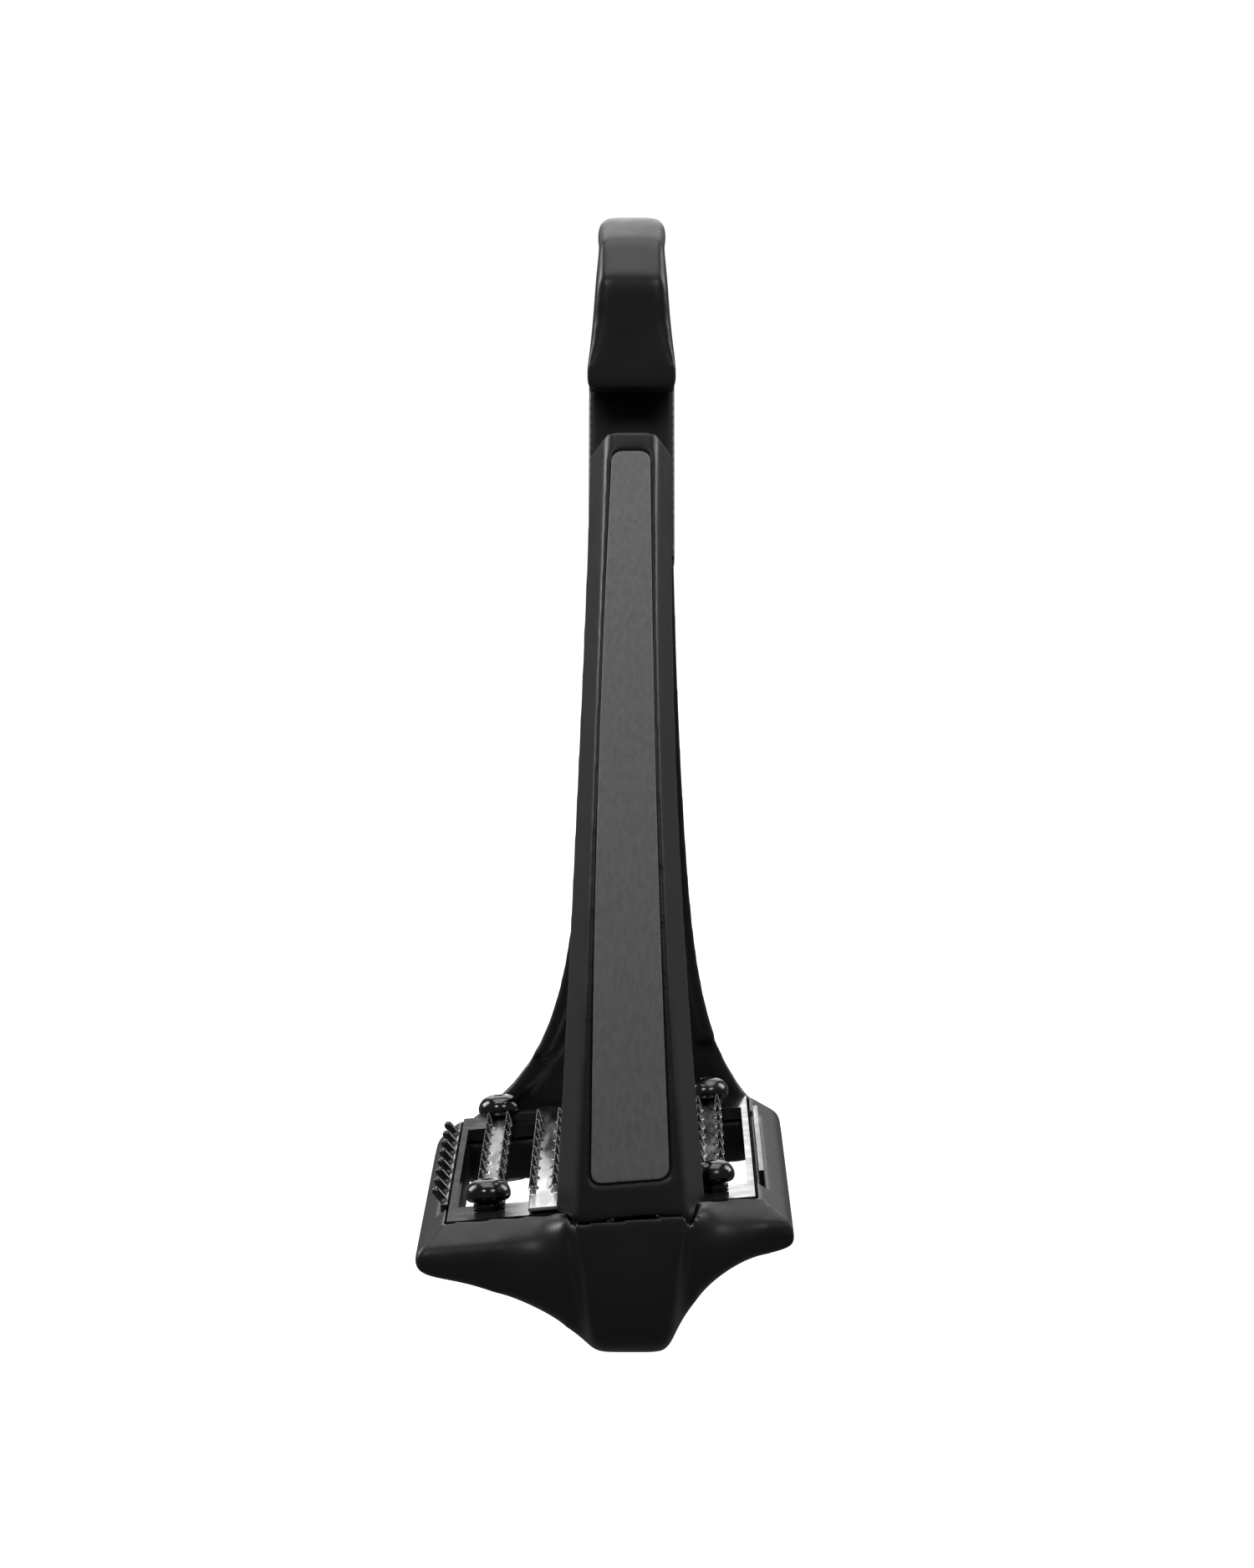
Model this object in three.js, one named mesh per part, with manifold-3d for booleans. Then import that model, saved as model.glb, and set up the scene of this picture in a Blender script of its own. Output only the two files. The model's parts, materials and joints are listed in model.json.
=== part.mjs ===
// Safety stirrup iron, in millimetres. The outer arm swings open about a pin at its foot.
//
// X runs from heel to toe, Y from the rider's outer side (-Y) to the horse's side (+Y), Z is up.
// Heights in the constants count from the flat keel. The whole model is then lowered by EYE_HEIGHT,
// so the origin is where the stirrup leather bears: the underside of the eye's top bar.

import * as THREE from 'three';
import { mergeVertices } from 'three/addons/utils/BufferGeometryUtils.js';
import Module from 'manifold-3d';

const wasm = await Module();
wasm.setup();

const { degToRad } = THREE.MathUtils;
const vec = (x, y, z) => new THREE.Vector3(x, y, z);

// ---- Driving dimensions ----

const GAP = 0.3;
const LONG = 200;

// The deck is the plane of the tread's top. It leans down towards the heel.
const DECK_TILT = degToRad(4.8);
const DECK_X = -4.4;
const DECK_HEIGHT = 20.4;
const DECK_HALF_WIDTH = 22.9;
const DECK_HALF_LENGTH = 60;
const BEVEL_RUN = 3.8;
const BEVEL_DROP = 3;
const END_DEPTH = 9;
const FAR_RIM_DEPTH = 9.8;

// The arms follow one circular arc in the YZ plane. LEAN is the arc's angle from vertical.
const SEAM_Y = 70.2;
const SEAM_HEIGHT = 20.77;
const SEAM_LEAN = degToRad(8);
const TOP_LEAN = degToRad(34);
const ARM_TOP_HEIGHT = 132.4;
const ARC_RADIUS = (ARM_TOP_HEIGHT - SEAM_HEIGHT) / (Math.sin(TOP_LEAN) - Math.sin(SEAM_LEAN));
const ARC_Y = ARC_RADIUS * Math.cos(SEAM_LEAN) - SEAM_Y;
const ARC_HEIGHT = SEAM_HEIGHT - ARC_RADIUS * Math.sin(SEAM_LEAN);

const ARM_TOP_HALF = 6.65;
const ARM_FOOT_FLARE = 4.8;
const ARM_TOP_THICK = 8;
const ARM_FOOT_THICK = 10.2;
const ARM_SWAY = 0.6;
const ARM_STEPS = 28;

// Crown and eye.
const CROWN_TOP = 163.5;
const LIP_HEIGHT = 138.4;
const EYE_HEIGHT = 158;
const EYE_HALF_LENGTH = 14;
const EYE_FLOOR = 147.6;
const CROWN_HALF_WIDTH = 6.6;
const NECK_HALF_WIDTH = 6.4;

// Hinge at the arm's foot, measured in the deck frame.
const PIVOT_Y = -65.3;
const PIVOT_UP = 3.75;
const FOOT_RADIUS = Math.hypot(SEAM_Y + PIVOT_Y, PIVOT_UP);
const PIN_RADIUS = 1.4;
const LUG_RADIUS = 2.7;
const LUG_HALF = 3;
const SLOT_HALF = 4.05;
const SLOT_RADIUS = 3;
const PIN_HALF = 7.6;
const WASHER_X = 3.53;
const KEEPER_X = 6.2;
const KEEPER_HALF = 1.4;
const KEEPER_SCREW_UP = 4.6;

// Catch at the arm's top.
const STUB_GAP = 0.8;
const MAGNET_LEAN = degToRad(32.7);
const DOWEL_LEAN = degToRad(31.55);
const BUMPER_LEAN = degToRad(30.75);

// Inlay on the arm's front.
const INLAY_THICK = 0.7;
const INLAY_TOP_HALF = 2.75;
const INLAY_FOOT_HALF = 5.85;

// Tread plate and grips, in the deck frame.
const PLATE_THICK = 1.8;
const WINDOW_HALF_LENGTH = 45;
const WINDOW_EDGES = [[10.8, 14.6], [18.45, 21.65]];
const CHANNEL_X = 16.5;
const SCREW_Y = 50;
const TOOTH_PITCH = 11;
const TEETH = 8;
const ROW_HALF_LENGTH = 45.4;
const INSERT_RADIUS = 3.2;
const COMB_EDGE = -23.9;
const COMB_HALF_LENGTH = 43.2;
const STUD_LEAN = degToRad(36);
const RIDGE_X = 23.5;
const GRIP_ROWS = [-10.2, -6.8, 6.8, 10.2];

// ---- Materials ----

function material(color, roughness, metalness) {
  return new THREE.MeshStandardMaterial({ color, roughness, metalness });
}

const blackSatin = material(0x1b1b1c, 0.5, 0.4);
const greyInlay = material(0x55565a, 0.55, 0.3);
const darkSteel = material(0x3a3b3d, 0.25, 1);
const brightSteel = material(0xb4b6b8, 0.3, 1);
const magnetNickel = material(0x9c9da0, 0.3, 1);
const blackRubber = material(0x151515, 0.9, 0);
const bronze = material(0x8a6a3c, 0.4, 1);

// ---- Solid helpers ----

function toSolid(geometry) {
  const bare = geometry.clone();
  bare.deleteAttribute('normal');
  bare.deleteAttribute('uv');
  const merged = mergeVertices(bare, 1e-4);
  return new wasm.Manifold(new wasm.Mesh({
    numProp: 3,
    vertProperties: new Float32Array(merged.attributes.position.array),
    triVerts: new Uint32Array(merged.index.array),
  }));
}

function toGeometry(solid) {
  const { vertProperties, triVerts } = solid.getMesh();
  const geometry = new THREE.BufferGeometry();
  geometry.setAttribute('position', new THREE.BufferAttribute(vertProperties, 3));
  geometry.setIndex(new THREE.BufferAttribute(triVerts, 1));
  return geometry;
}

function join(geometries) {
  return toGeometry(geometries.map(toSolid).reduce((sum, next) => sum.add(next)));
}

function cut(geometry, tools) {
  return toGeometry(tools.map(toSolid).reduce((left, tool) => left.subtract(tool), toSolid(geometry)));
}

function common(first, second) {
  return toGeometry(toSolid(first).intersect(toSolid(second)));
}

function box(low, high) {
  const [x0, y0, z0] = low;
  const [x1, y1, z1] = high;
  return new THREE.BoxGeometry(x1 - x0, y1 - y0, z1 - z0)
    .translate((x0 + x1) / 2, (y0 + y1) / 2, (z0 + z1) / 2);
}

function rod(start, end, radius, sides = 16) {
  const along = end.clone().sub(start);
  const turn = new THREE.Quaternion().setFromUnitVectors(vec(0, 1, 0), along.clone().normalize());
  const middle = start.clone().add(end).multiplyScalar(0.5);
  return new THREE.CylinderGeometry(radius, radius, along.length(), sides)
    .applyQuaternion(turn)
    .translate(middle.x, middle.y, middle.z);
}

// Corners with a curve across each one, starting `reach` mm before it.
function rounded(corners, reach, steps = 3) {
  return corners.flatMap(([x, y], i) => {
    const corner = new THREE.Vector2(x, y);
    const before = new THREE.Vector2(...corners.at(i - 1));
    const after = new THREE.Vector2(...corners[(i + 1) % corners.length]);
    const start = corner.clone().add(before.sub(corner).clampLength(0, reach));
    const end = corner.clone().add(after.sub(corner).clampLength(0, reach));
    return new THREE.QuadraticBezierCurve(start, corner, end).getPoints(steps);
  });
}

function extrude(shape, length) {
  return new THREE.ExtrudeGeometry(shape, { depth: length, bevelEnabled: false, curveSegments: 10 });
}

// A shape drawn in (Y, Z) and carried along X, centred on X = middle.
function alongX(shape, length, middle = 0) {
  const turn = new THREE.Matrix4().makeBasis(vec(0, 1, 0), vec(0, 0, 1), vec(1, 0, 0));
  return extrude(shape, length).applyMatrix4(turn).translate(middle - length / 2, 0, 0);
}

// A shape drawn in (X, Z) and carried along Y, centred on Y = 0.
function alongY(shape, length) {
  const turn = new THREE.Matrix4().makeBasis(vec(1, 0, 0), vec(0, 0, 1), vec(0, -1, 0));
  return extrude(shape, length).applyMatrix4(turn).translate(0, length / 2, 0);
}

function polygon(points) {
  return new THREE.Shape(points.map(([a, b]) => new THREE.Vector2(a, b)));
}

// A closed body through rings that have equally many points, with a fan over each end.
function loft(rings) {
  const size = rings[0].length;
  const points = rings.flat();
  const index = [];
  for (let ring = 0; ring + 1 < rings.length; ring += 1) {
    for (let k = 0; k < size; k += 1) {
      const a = ring * size + k;
      const b = ring * size + ((k + 1) % size);
      index.push(a, b, b + size, a, b + size, a + size);
    }
  }
  for (const [ring, flip] of [[0, true], [rings.length - 1, false]]) {
    const centre = points.length;
    const sum = rings[ring].reduce((total, point) => total.add(point), vec(0, 0, 0));
    points.push(sum.divideScalar(size));
    for (let k = 0; k < size; k += 1) {
      const a = ring * size + k;
      const b = ring * size + ((k + 1) % size);
      index.push(...(flip ? [b, a, centre] : [a, b, centre]));
    }
  }
  const geometry = new THREE.BufferGeometry().setFromPoints(points);
  geometry.setIndex(volume(points, index) < 0 ? index.reverse() : index);
  return geometry;
}

function volume(points, index) {
  let sum = 0;
  for (let i = 0; i < index.length; i += 3) {
    const [a, b, c] = [0, 1, 2].map((k) => points[index[i + k]]);
    sum += a.dot(b.clone().cross(c)) / 6;
  }
  return sum;
}

// ---- Deck frame ----

const deckMatrix = new THREE.Matrix4()
  .makeRotationY(-DECK_TILT)
  .setPosition(DECK_X, 0, DECK_HEIGHT);

const onDeck = (geometry) => geometry.clone().applyMatrix4(deckMatrix);

const stirrup = new THREE.Group();
stirrup.position.z = -EYE_HEIGHT;

const deck = new THREE.Group();
deck.position.set(DECK_X, 0, DECK_HEIGHT);
deck.rotation.y = -DECK_TILT;
stirrup.add(deck);

function part(name, geometry, finish, parent = stirrup) {
  const mesh = new THREE.Mesh(geometry, finish);
  mesh.name = name;
  parent.add(mesh);
  return mesh;
}

// ---- Arm arc ----

// A point on an arm, `depth` mm in from its outer face. side is -1 for the outer arm, 1 for the inner.
function armPoint(lean, depth, x, side = -1) {
  const radius = ARC_RADIUS - depth;
  return vec(x, side * (radius * Math.cos(lean) - ARC_Y), ARC_HEIGHT + radius * Math.sin(lean));
}

const leanAt = (rise) => THREE.MathUtils.lerp(SEAM_LEAN, TOP_LEAN, rise);
const riseAt = (lean) => (lean - SEAM_LEAN) / (TOP_LEAN - SEAM_LEAN);
const footness = (rise) => THREE.MathUtils.clamp(1 - rise, 0, 1.2);
const armHalf = (rise) => ARM_TOP_HALF + ARM_FOOT_FLARE * footness(rise) ** 1.8;
const armFaceHalf = (rise) => armHalf(rise) - 3.05 - 0.45 * footness(rise);
const armThick = (rise) => ARM_TOP_THICK + (ARM_FOOT_THICK - ARM_TOP_THICK) * footness(rise);
const armMiddle = (rise) => -ARM_SWAY * Math.sin(Math.PI * THREE.MathUtils.clamp(rise, 0, 1));

function armRing(rise, outline, middle, side) {
  const lean = leanAt(rise);
  return outline.map((point) => armPoint(lean, point.y, middle + point.x, side));
}

function outerArmRing(rise) {
  const face = armFaceHalf(rise);
  const half = armHalf(rise);
  const thick = armThick(rise);
  const outline = rounded([[-face, 0], [face, 0], [half, thick], [-half, thick]], 1.5);
  return armRing(rise, outline, armMiddle(rise), -1);
}

// ---- Frame casting ----

// The inner arm spreads into the whole end of the tread.
function innerArmRing(rise) {
  const lean = leanAt(rise);
  const height = armPoint(lean, 0, 0).z;
  const spread = Math.exp(-(height - 18) / 11.4);
  const flare = rise < -0.04 ? -2.5 : 14 * Math.min(spread, 1.1);
  const face = armFaceHalf(rise);
  const half = Math.min(armHalf(rise) - 0.4 + flare, 25.5);
  const thick = armThick(rise);
  const edge = 1.4 + 2.2 * Math.min(spread, 1);
  const hollow = 1.3 * THREE.MathUtils.clamp(4 * footness(rise) - 1, 0, 1);
  const lip = 2.4;
  const corners = [
    [-face, 0], [face, 0], [half, thick - edge], [half, thick],
    [half - lip, thick], [half - lip - 1.5, thick - hollow],
    [1.5 + lip - half, thick - hollow], [lip - half, thick], [-half, thick], [-half, thick - edge],
  ];
  return armRing(rise, rounded(corners, 0.6, 2), -2.2 * Math.min(spread, 1), 1);
}

function innerArm() {
  const rises = [-0.08, -0.03, -0.01, 0.01, 0.04, 0.07, 0.1, 0.13, 0.17, 0.21, 0.26, 0.32, 0.4,
    0.5, 0.6, 0.7, 0.8, 0.9, 1];
  return loft(rises.map(innerArmRing));
}

// The tread surround seen along Y: deck, side bevels, and an underside that sweeps down to the keel.
function surroundShape() {
  const local = (u, v) => {
    const point = vec(u, 0, v).applyMatrix4(deckMatrix);
    return [point.x, point.z];
  };
  const shape = new THREE.Shape();
  const tip = DECK_HALF_WIDTH + BEVEL_RUN;
  shape.moveTo(...local(DECK_HALF_WIDTH, 0));
  shape.lineTo(...local(-DECK_HALF_WIDTH, 0));
  shape.lineTo(...local(-tip, -BEVEL_DROP));
  shape.quadraticCurveTo(...local(-tip - 1.3, -BEVEL_DROP - 1), ...local(-tip - 1, -BEVEL_DROP - 3));
  shape.quadraticCurveTo(-31.5, 11.3, -28.6, 10.6);
  shape.quadraticCurveTo(-12.6, 7.6, -5.2, 0);
  shape.lineTo(5.2, 0);
  shape.quadraticCurveTo(9.6, 11.8, 21.4, 14.6);
  shape.quadraticCurveTo(24.4, 15.4, ...local(tip + 1, -BEVEL_DROP - 3));
  shape.quadraticCurveTo(...local(tip + 1.3, -BEVEL_DROP - 1), ...local(tip, -BEVEL_DROP));
  return shape;
}

// The same body seen along the deck's width: bevelled ends that roll under. A keel wall stands under
// the outer end only.
function surroundEnds() {
  const end = DECK_HALF_LENGTH;
  const rim = [[end, 0], [end + BEVEL_RUN, -BEVEL_DROP], [end + 4.5, -4], [end + 4.7, -5.4],
    [end + 4.2, -7.4], [end + 2.8, -9.6]];
  const outer = [...rim, [end, -12], [end - 6, -15], [end - 6, -40], [WINDOW_HALF_LENGTH, -40],
    [WINDOW_HALF_LENGTH, -END_DEPTH]].map(([y, v]) => [-y, v]).reverse();
  return onDeck(alongX(polygon([...outer, ...rim, [end, -FAR_RIM_DEPTH], [end - 3, -END_DEPTH]]), LONG));
}

// How far a boss flares past the arm's facets: most below the wings' tips, and little at the seam.
function bossFlare(height) {
  const table = [[0, 14], [15.2, 14], [15.8, 10.6], [16.6, 7.4], [17.8, 5], [19.4, 3], [SEAM_HEIGHT, 1.6],
    [25, 0.5]];
  const next = Math.max(1, table.findIndex(([level]) => level >= height));
  const [[low, first], [high, second]] = [table[next - 1], table[next]];
  return THREE.MathUtils.mapLinear(height, low, high, first, second);
}

// A boss carries each arm's foot and its facets down to the keel. The outer one flares into the wings,
// and the inner one hardly flares.
function bossRing(height, front, side) {
  const level = height / SEAM_HEIGHT;
  const face = THREE.MathUtils.lerp(5.2, 7.95, level);
  const flare = bossFlare(height) * (side < 0 ? 1 : 0.1);
  const back = THREE.MathUtils.lerp(56, 50, Math.min(height / 10, 1));
  const slope = Math.tan(DECK_TILT) * THREE.MathUtils.smoothstep(level, 0.2, 0.8);
  const shoulder = front - 4.4;
  const wing = DECK_HALF_LENGTH + 0.1 + (SEAM_HEIGHT - height) * (BEVEL_RUN / BEVEL_DROP);
  const end = Math.min(front - 7.4, Math.max(wing, back + 1));
  const half = [[face, front], [face + 1.45, shoulder],
    [face + 2.2 + flare * 0.3, THREE.MathUtils.lerp(shoulder, end, 0.45)],
    [face + 2.2 + flare * 0.65, THREE.MathUtils.lerp(shoulder, end, 0.75)],
    [face + 2.2 + flare, end], [face + 2.2 + flare, back]];
  const outline = [...half, ...half.map(([x, y]) => [-x, y]).reverse()];
  return outline.map(([x, y]) => vec(x, side * y, height + x * slope));
}

function boss(side) {
  const fronts = [[0, 65.2], [0.6, 67.2], [2, 69], [5, 70.5], [10, 71.1], [15.2, 70.9], [15.8, 70.8],
    [16.6, 70.7], [17.8, 70.6], [19.4, 70.4], [SEAM_HEIGHT, 70.2], [25, 69.5]];
  const body = loft(fronts.map(([height, front]) => bossRing(height, front, side)));
  return common(body, alongY(surroundShape(), LONG));
}

// The crown seen along X, with the eye for the leather.
function crownOutline() {
  const half = [[23, LIP_HEIGHT], [23, LIP_HEIGHT + 1.5], [21, 154.9], [15, 160.6], [6.5, 163.1],
    [0, CROWN_TOP]];
  return [...half, ...half.slice(0, -1).map(([y, z]) => [-y, z]).reverse()];
}

function eyeShape() {
  const y = EYE_HALF_LENGTH;
  const corners = [[-y, EYE_FLOOR], [y, EYE_FLOOR], [y, EYE_HEIGHT], [-y, EYE_HEIGHT]];
  return new THREE.Shape(rounded(corners, 3, 5));
}

// Half width of the crown at each height.
function crownSide() {
  const half = [[6.2, LIP_HEIGHT], [CROWN_HALF_WIDTH, 139.4], [CROWN_HALF_WIDTH, 141.5], [6.35, 143.3],
    [6, 146.3], [5.6, 151], [5.35, 155], [5.1, 160], [5.2, 162.6], [4.4, CROWN_TOP]];
  return polygon([...half, ...half.map(([x, z]) => [-x, z]).reverse()]);
}

function crown() {
  const body = common(alongX(polygon(crownOutline()), LONG), alongY(crownSide(), LONG));
  return cut(body, [alongX(eyeShape(), LONG)]);
}

// The neck below the crown. Its outer stub backs the release arm's top.
function stubFace(lean) {
  const { y, z } = armPoint(lean, armThick(riseAt(lean)) + STUB_GAP, 0);
  return [y, z];
}

function neck() {
  const top = LIP_HEIGHT + 1;
  const faceTop = stubFace(TOP_LEAN);
  const face = [[faceTop[0] + (top - faceTop[1]) * Math.tan(TOP_LEAN), top], faceTop,
    stubFace(degToRad(32)), stubFace(degToRad(30.3))];
  const arch = [[-22.8, 111.6], [-17.5, 120.4], [-12.3, 125.6], [-6.4, 128.6], [0, 129.6], [8, 128.8],
    [14.5, 126.2], [19.8, 122.2], [24.8, 116.8], [28.2, 112]];
  const back = [[33, 114], [27.2, ARM_TOP_HEIGHT], [23, top]];
  return alongX(polygon([...face, ...arch, ...back]), 2 * NECK_HALF_WIDTH);
}

// A plain round tool or piece along the arm's normal, between two depths.
function normalRod(lean, from, to, radius, sides = 16) {
  return rod(armPoint(lean, from, 0), armPoint(lean, to, 0), radius, sides);
}

const armBack = (lean) => armThick(riseAt(lean));
const stubDepth = (lean) => armBack(lean) + STUB_GAP;

function catchHoles() {
  const depth = stubDepth(MAGNET_LEAN);
  return [
    normalRod(MAGNET_LEAN, depth - 1, depth + 2.3, 2.9),
    normalRod(DOWEL_LEAN, depth - 1, depth + 4.3, 1.2),
    normalRod(BUMPER_LEAN, depth - 1, depth + 1.8, 1.5),
  ];
}

// Openings that carry the tread plate and its screws.
function deckCuts() {
  const length = DECK_HALF_LENGTH;
  const seat = box([-DECK_HALF_WIDTH, -length, -PLATE_THICK - GAP], [DECK_HALF_WIDTH, length, 9]);
  const cavity = box([-21.65, -WINDOW_HALF_LENGTH, -40], [21.65, WINDOW_HALF_LENGTH, 9]);
  const holeRadius = INSERT_RADIUS + GAP;
  const holes = screwPlaces().map(([x, y]) => rod(vec(x, y, -END_DEPTH - 4), vec(x, y, 1), holeRadius));
  const edges = [[COMB_EDGE - GAP, 0.1 - DECK_HALF_WIDTH], [RIDGE_X - GAP, RIDGE_X + 1]];
  const grooves = edges.map(([low, high]) => (
    box([low, -COMB_HALF_LENGTH - GAP, -1.6], [high, COMB_HALF_LENGTH + GAP, 9])
  ));
  return [seat, cavity, ...holes, ...grooves].map(onDeck);
}

function screwPlaces() {
  return [-CHANNEL_X, CHANNEL_X].flatMap((x) => [-SCREW_Y, SCREW_Y].map((y) => [x, y]));
}

const HINGE_X = -DECK_X * Math.cos(DECK_TILT) + 0.45;

// The arm's round foot, which narrows to both ends as the arm's facets do. Its seat is this with a
// margin.
function footBody(margin) {
  const radius = FOOT_RADIUS + margin;
  const end = radius - 3.2;
  const [near, far] = [7.6 + 2 * margin, 9.7 + margin];
  const profile = [[0, -far], [end, -far], [radius, -near], [radius, near], [end, far], [0, far]];
  const body = new THREE.LatheGeometry(profile.map(([r, x]) => new THREE.Vector2(r, x)), 48);
  return onDeck(body.rotateZ(-Math.PI / 2).translate(HINGE_X, PIVOT_Y, PIVOT_UP));
}

// The lug rises from the boss behind the foot's sweep and holds the pin.
function hingeLug() {
  const at = (y, v) => [PIVOT_Y + y, PIVOT_UP + v];
  const web = polygon([at(-0.6, 2.2), at(-0.6, -2), at(1.1, -2.3), at(3, -6), at(3, -9), at(5.7, -9),
    at(5.7, -0.6), at(2.6, 2.2)]);
  const eye = rod(vec(-LUG_HALF, ...at(0, 0)), vec(LUG_HALF, ...at(0, 0)), LUG_RADIUS, 24);
  const bore = rod(vec(-9, ...at(0, 0)), vec(9, ...at(0, 0)), PIN_RADIUS + 0.25, 24);
  const lug = cut(join([alongX(web, 2 * LUG_HALF), eye.clone()]), [bore]);
  return onDeck(lug.translate(HINGE_X, 0, 0));
}

// A rib under the middle of the deck, between the bosses.
function rib() {
  const length = WINDOW_HALF_LENGTH + 1;
  return onDeck(box([-3, -length, -END_DEPTH], [3, length, -PLATE_THICK - GAP]));
}

function frame() {
  const surround = common(alongY(surroundShape(), LONG), surroundEnds());
  const pocketed = cut(join([surround, boss(-1), boss(1), innerArm()]), [...deckCuts(), footBody(0.25)]);
  const upper = cut(join([neck(), crown()]), catchHoles());
  return join([pocketed, hingeLug(), rib(), upper]);
}

// ---- Release arm ----

function inlayRing(rise, half, from, to) {
  const slant = Math.tan(DECK_TILT) * (1 - rise);
  return [[-half, from], [half, from], [half, to], [-half, to]].map(([x, depth]) => {
    const lean = leanAt(rise) + (x * slant) / ARC_RADIUS;
    return armPoint(lean, depth, armMiddle(rise) + x);
  });
}

// The inlay's own shape, or its pocket when margin is above zero.
function inlayBody(margin, from, to) {
  const corner = 1.6;
  const span = ARC_RADIUS * (TOP_LEAN - SEAM_LEAN);
  const low = 0.042 - margin / span;
  const high = 0.972 + margin / span;
  const round = corner / span;
  const ends = [0, 0.1, 0.3, 0.6, 1].map((k) => k * round);
  const middle = Array.from({ length: ARM_STEPS - 4 }, (_, k) => 0.1 + (0.8 * (k + 0.5)) / (ARM_STEPS - 4));
  const rises = [...ends.map((k) => low + k), ...middle, ...ends.map((k) => high - k).reverse()];
  return loft(rises.map((rise) => {
    const inset = Math.max(0, 1 - Math.min(rise - low, high - rise) / round);
    const half = THREE.MathUtils.lerp(INLAY_FOOT_HALF, INLAY_TOP_HALF, rise) + margin;
    return inlayRing(rise, half - corner * (1 - Math.sqrt(1 - inset ** 2)), from, to);
  }));
}

// The arm's foot is open below and behind, so that it clears the lug when it swings.
function hingeSlots() {
  const relief = [[-SLOT_RADIUS, -2.6], [-5.4, -5.2], [-5.4, -9], [0, -9], [0, -2.6]];
  const slot = [
    box([-SLOT_HALF, PIVOT_Y, -20], [SLOT_HALF, PIVOT_Y + 12, PIVOT_UP + SLOT_RADIUS]),
    box([-SLOT_HALF, PIVOT_Y - SLOT_RADIUS, -20], [SLOT_HALF, PIVOT_Y + 1, PIVOT_UP]),
    rod(vec(-SLOT_HALF, PIVOT_Y, PIVOT_UP), vec(SLOT_HALF, PIVOT_Y, PIVOT_UP), SLOT_RADIUS, 24),
    alongX(polygon(relief.map(([y, v]) => [PIVOT_Y + y, PIVOT_UP + v])), 2 * SLOT_HALF),
  ];
  const ends = [-1, 1].flatMap((side) => {
    const [low, high] = side < 0 ? [-PIN_HALF - GAP, -SLOT_HALF + 1] : [SLOT_HALF - 1, PIN_HALF + GAP];
    const pocket = side < 0 ? [low, -SLOT_HALF - 0.4] : [SLOT_HALF + 0.4, high];
    const radius = PIN_RADIUS + 0.25;
    return [
      rod(vec(low, PIVOT_Y, PIVOT_UP), vec(high, PIVOT_Y, PIVOT_UP), radius, 24),
      box([low, PIVOT_Y, PIVOT_UP - radius], [high, PIVOT_Y + 12, PIVOT_UP + radius]),
      box([pocket[0], PIVOT_Y + 4.2, PIVOT_UP - radius], [pocket[1], PIVOT_Y + 12, PIVOT_UP + 7.5]),
      rod(vec(side * KEEPER_X, PIVOT_Y - 1, PIVOT_UP + KEEPER_SCREW_UP),
        vec(side * KEEPER_X, PIVOT_Y + 5, PIVOT_UP + KEEPER_SCREW_UP), 1.1, 12),
    ];
  });
  return [...slot, ...ends].map((tool) => onDeck(tool.translate(HINGE_X, 0, 0)));
}

function releaseArm() {
  const steps = Array.from({ length: ARM_STEPS + 1 }, (_, k) => k / ARM_STEPS);
  const whole = loft(steps.map((step) => outerArmRing(THREE.MathUtils.lerp(-0.12, 1, step))));
  const above = onDeck(box([-60, -120, GAP], [60, 60, 200]));
  const kept = common(whole, join([above, footBody(0)]));
  const back = armBack(MAGNET_LEAN);
  return cut(kept, [
    inlayBody(0.2, -2, INLAY_THICK + 0.2),
    ...hingeSlots(),
    normalRod(MAGNET_LEAN, back - 2.3, back + 2, 2.9),
    normalRod(DOWEL_LEAN, back - 2.4, back + 2, 1.3),
  ]);
}

// ---- Hinge pieces, in the deck frame ----

const hinge = new THREE.Group();
hinge.position.set(HINGE_X, PIVOT_Y, PIVOT_UP);
deck.add(hinge);

function washer(side) {
  const ring = rod(vec(-0.25, 0, 0), vec(0.25, 0, 0), 2.5, 20);
  const hole = rod(vec(-1, 0, 0), vec(1, 0, 0), PIN_RADIUS + 0.25, 20);
  return cut(ring, [hole]).translate(side * WASHER_X, 0, 0);
}

function keeper(side) {
  const plate = box([-KEEPER_HALF, 4.5, -1.3], [KEEPER_HALF, 5.5, 7.2]);
  const nose = box([-KEEPER_HALF, PIN_RADIUS + GAP, -1.3], [KEEPER_HALF, 4.6, 1.3]);
  const hole = rod(vec(0, 0, KEEPER_SCREW_UP), vec(0, 9, KEEPER_SCREW_UP), 1.05, 12);
  return cut(join([plate, nose]), [hole]).translate(side * KEEPER_X, 0, 0);
}

function keeperScrew(side) {
  const head = rod(vec(0, 5.8, 0), vec(0, 6.5, 0), 1.4, 16);
  const shank = rod(vec(0, -0.4, 0), vec(0, 5.9, 0), 0.75, 12);
  return join([head, shank]).translate(side * KEEPER_X, 0, KEEPER_SCREW_UP);
}

// ---- Grips, in the deck frame ----

// A wall of points along Y, drawn in (Y, Z) from the plate's top.
function toothedWall(x, halfLength, teeth) {
  const points = [[-halfLength, 0.9], [-halfLength, 0.2], [halfLength, 0.2], [halfLength, 0.9]];
  const first = ((teeth - 1) / 2) * TOOTH_PITCH;
  for (let tooth = 0; tooth < teeth; tooth += 1) {
    const y = first - tooth * TOOTH_PITCH;
    points.push([y + 4.4, 1.5], [y + 1.8, 1.5], [y, 3.1], [y - 1.8, 1.5], [y - 4.4, 1.5]);
  }
  return alongX(polygon(points), 0.8, x);
}

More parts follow.
